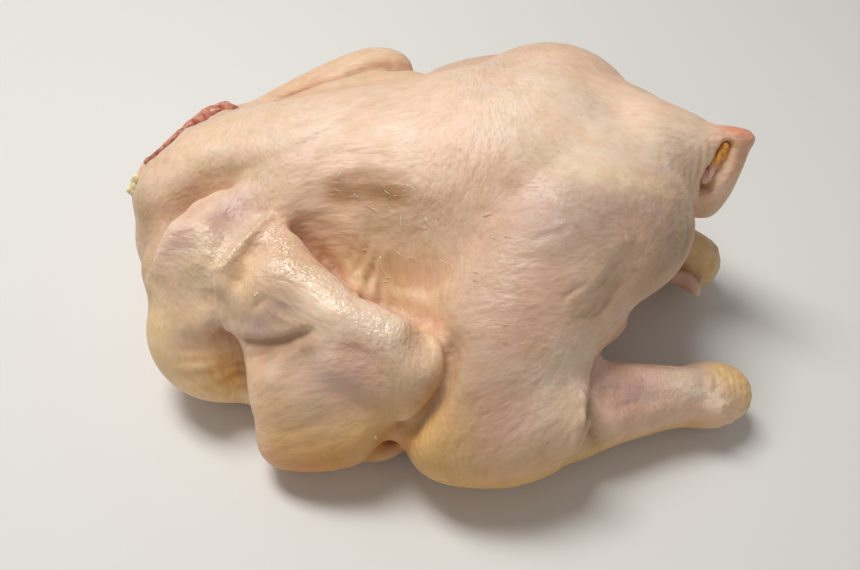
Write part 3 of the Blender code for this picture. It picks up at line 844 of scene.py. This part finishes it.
def skin_material():
    """Damp, slightly see-through skin, wetter in places."""
    paint = Paint("chicken_skin")
    place = paint.place()
    brushed = paint.vector("grain")
    tint, crease_shade, ridge, wet = paint.tint("tint"), paint.mask("crease_shade"), paint.mask("ridge"), paint.mask("wet")
    broad = paint.noise(place, 34, 3)
    mottle = paint.noise(place, 130, 3)
    veins = paint.noise(brushed, 75, 3, 0.55, 0.8)
    wrinkle = paint.noise(brushed, 520, 3, 0.55, 0.3)
    lumps = paint.noise(brushed, 200, 2, 0.5)
    film = paint.noise(place, 420, 2, 0.5, 0.9)
    pores = paint.cells(brushed, 170)
    colour = paint.mix(broad.between(0.40, 0.62) * 0.8, tint, (1.0, 0.91, 0.88), "MULTIPLY")
    colour = paint.mix(mottle.between(0.42, 0.68) * 0.6, colour, (0.88, 0.88, 0.78), "MULTIPLY")
    colour = paint.mix(veins.between(0.55, 0.72) * 0.35, colour, (0.84, 0.78, 0.86), "MULTIPLY")
    colour = paint.mix(wrinkle.between(0.58, 0.36) * 0.22, colour, (0.82, 0.68, 0.56), "MULTIPLY")
    colour = paint.mix(pores.between(0.13, 0.05) * 0.3, colour, (0.62, 0.45, 0.26), "MULTIPLY")
    colour = paint.mix(ridge * 0.5, colour, (0.92, 0.74, 0.56))
    # Painted shade: the colour is darkened to red-brown wherever the skin is sunk in creases and hollows.
    colour = paint.mix(crease_shade * 0.75, colour, (0.58, 0.30, 0.20), "MULTIPLY")
    bumps = paint.bump(lumps, 0.5, 0.0018)
    bumps = paint.bump(wrinkle, 0.38, 0.0008, bumps)
    bumps = paint.bump(film * wet, 0.6, 0.0013, bumps)
    roughness = 0.47 - 0.34 * wet + 0.10 * mottle
    return paint.set(Base_Color=colour, Roughness=roughness, Normal=bumps, Subsurface_Weight=0.35,
                     Subsurface_Radius=(1.0, 0.42, 0.22), Subsurface_Scale=0.004, Specular_IOR_Level=0.6)


# ------------------------------------------------------------------ bits on and in the skin, in millimetres

FLESH_STRIP = [(-117, 14.6, 74.2, 0.9), (-111, 17.2, 77.6, 1.1), (-105, 23, 80, 1.2), (-100, 30, 79, 2.2),
               (-95, 37.5, 77.5, 3.1), (-90.5, 40, 77.3, 3.6), (-87, 41.5, 77.2, 3.5),
               (-84.5, 43.5, 75, 2.4)]
FAT_BITS = [(-122.8, 9, 66, 1.5), (-121.5, 10.5, 69, 1.5), (-123.6, 8, 64, 1.4), (-124.9, 7.8, 65, 0.9),
            (-122.6, 10.4, 67.5, 1.3)]
SPECKS = [(-15, -12, 92), (-22, -22, 82), (-26, -33, 66), (-97, -30, 78), (-60, -6, 91), (-48, 5, 94),
          (-9, -30, 82), (-40, -12, 90), (-88, -60, 22), (-30, -90, 34), (-50, -62, 66), (-70, -52, 70)]
QUILL_PATCHES = [((-30, -20, 84), 14, 14), ((-22, -36, 66), 12, 12), ((0, -40, 78), 18, 12),
                 ((-6, -10, 94), 16, 4), ((14, -58, 78), 18, 4), ((-112, 8, 66), 10, 3),
                 ((-45, -14, 88), 8, 4)]
QUILL_WAY = (0.8, -0.4, -0.45)
QUILL_TILT = (4, 22)        # degrees out from the skin
QUILL_SUNK = 0.15
QUILL_RADIUS = 0.16
QUILL_CURL = 0.035
QUILL_LENGTH = 6
SPECK_SUNK = 0.1


def copied(pattern):
    only(pattern)
    bpy.ops.object.duplicate()
    return bpy.context.object


def planted(piece, place, normal, way, tilt, sunk):
    """Lays a piece along the skin at this place, leaning out by this many degrees."""
    flat = (way - normal * way.dot(normal)).normalized()
    along = flat * math.cos(math.radians(tilt)) + normal * math.sin(math.radians(tilt))
    across = normal.cross(along).normalized()
    turned = Matrix((across, along.cross(across), along)).transposed().to_4x4()
    piece.matrix_world = Matrix.Translation((place - normal * sunk) * MM) @ turned
    bpy.ops.object.transform_apply(location=True, rotation=True, scale=True)
    return piece


def quill_pattern():
    """One bent feather shaft, 6 mm long, growing up from its root."""
    deselect()
    bpy.ops.mesh.primitive_uv_sphere_add(segments=6, ring_count=8, radius=1)
    piece = bpy.context.object
    for point in piece.data.vertices:
        height = (point.co.z + 1) * QUILL_LENGTH / 2
        across = point.co.x * QUILL_RADIUS + QUILL_CURL * height ** 2
        point.co = Vector((across, point.co.y * QUILL_RADIUS, height)) * MM
    return piece


def quills(clay):
    """Stubs and hairs of feather that the plucking left behind."""
    pattern = quill_pattern()
    normals = clay.normals()
    placed = []
    for centre, reach, count in QUILL_PATCHES:
        gap, _, _ = clay.near([centre])
        choices = np.flatnonzero(gap < reach)
        for _ in range(count):
            spot = int(choices[random.randrange(len(choices))])
            piece = copied(pattern)
            length = random.uniform(0.2, 0.9) ** 1.3
            thick = random.uniform(0.6, 1.0)
            piece.scale = (thick, thick, length)
            bpy.ops.object.transform_apply(location=False, rotation=False, scale=True)
            way = Vector(QUILL_WAY) + Vector([random.uniform(-0.6, 0.6) for _ in range(3)])
            normal = Vector(normals[spot]).normalized()
            tilt = random.uniform(*QUILL_TILT)
            placed.append(planted(piece, Vector(clay.points[spot]), normal, way, tilt, QUILL_SUNK))
    only(pattern)
    bpy.ops.object.delete()
    return smooth(joined(placed, "quills"))


def specks(clay):
    """Crumbs of yellow fat stuck to the skin."""
    normals = clay.normals()
    placed = []
    for centre in SPECKS:
        spot = int(np.argmin(clay.near([centre])[0]))
        deselect()
        bpy.ops.mesh.primitive_ico_sphere_add(subdivisions=2, radius=1)
        piece = bpy.context.object
        size = random.uniform(0.45, 0.85)
        piece.scale = (size * MM * 0.6, size * MM * 0.45, size * MM * random.uniform(0.9, 1.6))
        bpy.ops.object.transform_apply(location=False, rotation=False, scale=True)
        way = Vector([random.uniform(-1, 1) for _ in range(3)])
        normal = Vector(normals[spot]).normalized()
        placed.append(planted(piece, Vector(clay.points[spot]), normal, way, 0, SPECK_SUNK))
    return smooth(joined(placed, "fat_specks"))


def lumpy(piece, name, step, spacing, height):
    """Melts overlapping forms into one lumpy body."""
    modified(piece, "REMESH", mode="VOXEL", voxel_size=step * MM)
    clay = Clay(piece)
    clay.points = clay.spread(clay.points, 2)
    middle = clay.points.mean(axis=0)
    clay.bumps([middle], 100, spacing, height)
    clay.bumps([middle], 100, spacing / 2, height / 3, 1)
    clay.put()
    piece.name = name
    return smooth(piece)


def flesh_material():
    paint = Paint("neck_flesh")
    place = paint.place()
    strands = paint.noise(paint.stretched(place, (1, 1, 0.35)), 420, 3)
    broad = paint.noise(place, 160, 2)
    colour = paint.mix(strands.between(0.35, 0.65), (0.36, 0.09, 0.06), (0.66, 0.27, 0.19))
    colour = paint.mix(broad.between(0.5, 0.7) * 0.5, colour, (0.80, 0.50, 0.36))
    return paint.set(Base_Color=colour, Roughness=0.24 + 0.2 * strands, Subsurface_Weight=0.3,
                     Normal=paint.bump(strands, 0.4, 0.0008), Subsurface_Scale=0.002)


def tail_material():
    """Orange oil gland above, pinkish fat below."""
    paint = Paint("tail_flesh")
    place = paint.place()
    depth = paint.add("ShaderNodeSeparateXYZ", {}, place, out=2)
    grains = paint.noise(place, 380, 3)
    colour = paint.mix(grains.between(0.35, 0.65), (0.90, 0.48, 0.10), (0.80, 0.34, 0.06))
    colour = paint.mix(depth.between(0.087, 0.081), colour, (0.80, 0.55, 0.46))
    return paint.set(Base_Color=colour, Roughness=0.3 + 0.2 * grains, Subsurface_Weight=0.3,
                     Normal=paint.bump(grains, 0.4, 0.0008), Subsurface_Scale=0.002)


def fat_material():
    paint = Paint("fat")
    grains = paint.noise(paint.place(), 700, 2)
    colour = paint.mix(grains.between(0.35, 0.65), (0.93, 0.74, 0.36), (0.92, 0.82, 0.60))
    return paint.set(Base_Color=colour, Roughness=0.25 + 0.25 * grains, Subsurface_Weight=0.3,
                     Normal=paint.bump(grains, 0.3, 0.0005), Subsurface_Scale=0.002)


def quill_material():
    paint = Paint("quill")
    grains = paint.noise(paint.place(), 900, 2)
    colour = paint.mix(grains.between(0.35, 0.65), (0.92, 0.72, 0.42), (0.98, 0.88, 0.68))
    return paint.set(Base_Color=colour, Roughness=0.22 + 0.2 * grains, Subsurface_Weight=0.4,
                     Normal=paint.bump(grains, 0.2, 0.0003), Subsurface_Scale=0.001)


def dressed(piece, material):
    piece.data.materials.append(material)
    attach(piece, BODY)


def small_bits(clay):
    dressed(quills(clay), quill_material())
    dressed(lumpy(limb(FLESH_STRIP), "neck_flesh", 0.55, 6, 0.35), flesh_material())
    dressed(lumpy(limb(TAIL_FLESH), "tail_flesh", 0.4, 2.4, 0.7), tail_material())
    fat = fat_material()
    dressed(specks(clay), fat)
    bits = joined([blob(bit[:3], (bit[3], bit[3] * 0.8, bit[3] * 1.2)) for bit in FAT_BITS], "neck_fat")
    dressed(lumpy(bits, "neck_fat", 0.4, 2.2, 0.25), fat)


# ------------------------------------------------------------------ the table, the light, the camera

VIEW_CENTRE = (-28.2, -266.3, 327.7)
VIEW_FORWARD = (0.0595, 0.6415, -0.7648)
VIEW_RIGHT = (0.99777, -0.06138, 0.02614)
LENS = 38.93
TABLE_SIZE = 6.0


def table():
    deselect()
    bpy.ops.mesh.primitive_plane_add(size=TABLE_SIZE)
    top = bpy.context.object
    top.name = "table"
    paint = Paint("pale_table")
    top.data.materials.append(paint.set(Base_Color=(0.80, 0.79, 0.77), Roughness=0.7))


def soft_light(name, place, aim, size, power, colour=(1, 1, 1)):
    deselect()
    bpy.ops.object.light_add(type="AREA", location=place)
    lamp = bpy.context.object
    lamp.name = name
    lamp.data.shape = "RECTANGLE"
    lamp.data.size, lamp.data.size_y = size
    lamp.data.energy = power
    lamp.data.color = colour
    lamp.rotation_euler = (Vector(aim) - Vector(place)).to_track_quat("-Z", "Y").to_euler()


def studio():
    soft_light("overhead", (-0.3, 0.2, 1.0), (0, 0, 0.05), (0.28, 0.5), 8.2, (1, 0.985, 0.96))
    soft_light("front_fill", (-0.5, -1.1, 0.7), (0, 0, 0.05), (1.0, 0.6), 1.0, (1, 0.96, 0.90))
    world = bpy.data.worlds.new("room")
    bpy.context.scene.world = world
    world.use_nodes = True
    sky = world.node_tree.nodes["Background"]
    sky.inputs["Color"].default_value = (1, 0.98, 0.95, 1)
    sky.inputs["Strength"].default_value = 0.24
    bpy.context.scene.view_settings.view_transform = "Standard"


def camera():
    forward = Vector(VIEW_FORWARD).normalized()
    right = Vector(VIEW_RIGHT)
    right = (right - right.dot(forward) * forward).normalized()
    up = right.cross(forward)
    deselect()
    bpy.ops.object.camera_add()
    view = bpy.context.object
    view.name = "studio_camera"
    view.data.lens = LENS
    view.data.sensor_width = 36
    view.data.clip_start = 0.01
    turned = Matrix((right, up, -forward)).transposed().to_4x4()
    view.matrix_world = Matrix.Translation(Vector(VIEW_CENTRE) * MM) @ turned
    bpy.context.scene.camera = view


# ------------------------------------------------------------------ the whole bird


def main():
    clay = sculpted_skin()
    sunk = clay.hollows()
    # How deep the skin is sunk, kept as a mask for the painted shade in creases.
    clay.store("crease_shade", np.clip(sunk / FOLD_DEPTH - 0.15, 0, 1))
    clay.store("ridge", np.clip(-sunk / FOLD_DEPTH - 0.3, 0, 1))
    for path, width, strength in WET_PLACES:
        clay.mark("wet", path, width, strength)
    clay.store("wet", clay.marks["wet"])
    layer = clay.piece.data.attributes.new("grain", "FLOAT_VECTOR", "POINT")
    layer.data.foreach_set("vector", grain(clay).astype(np.float32).ravel())
    tinted(clay)
    skin = smooth(clay.piece)
    skin.data.materials.append(skin_material())
    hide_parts(NODE)
    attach(skin, BODY)
    small_bits(clay)
    table()
    studio()
    camera()


main()
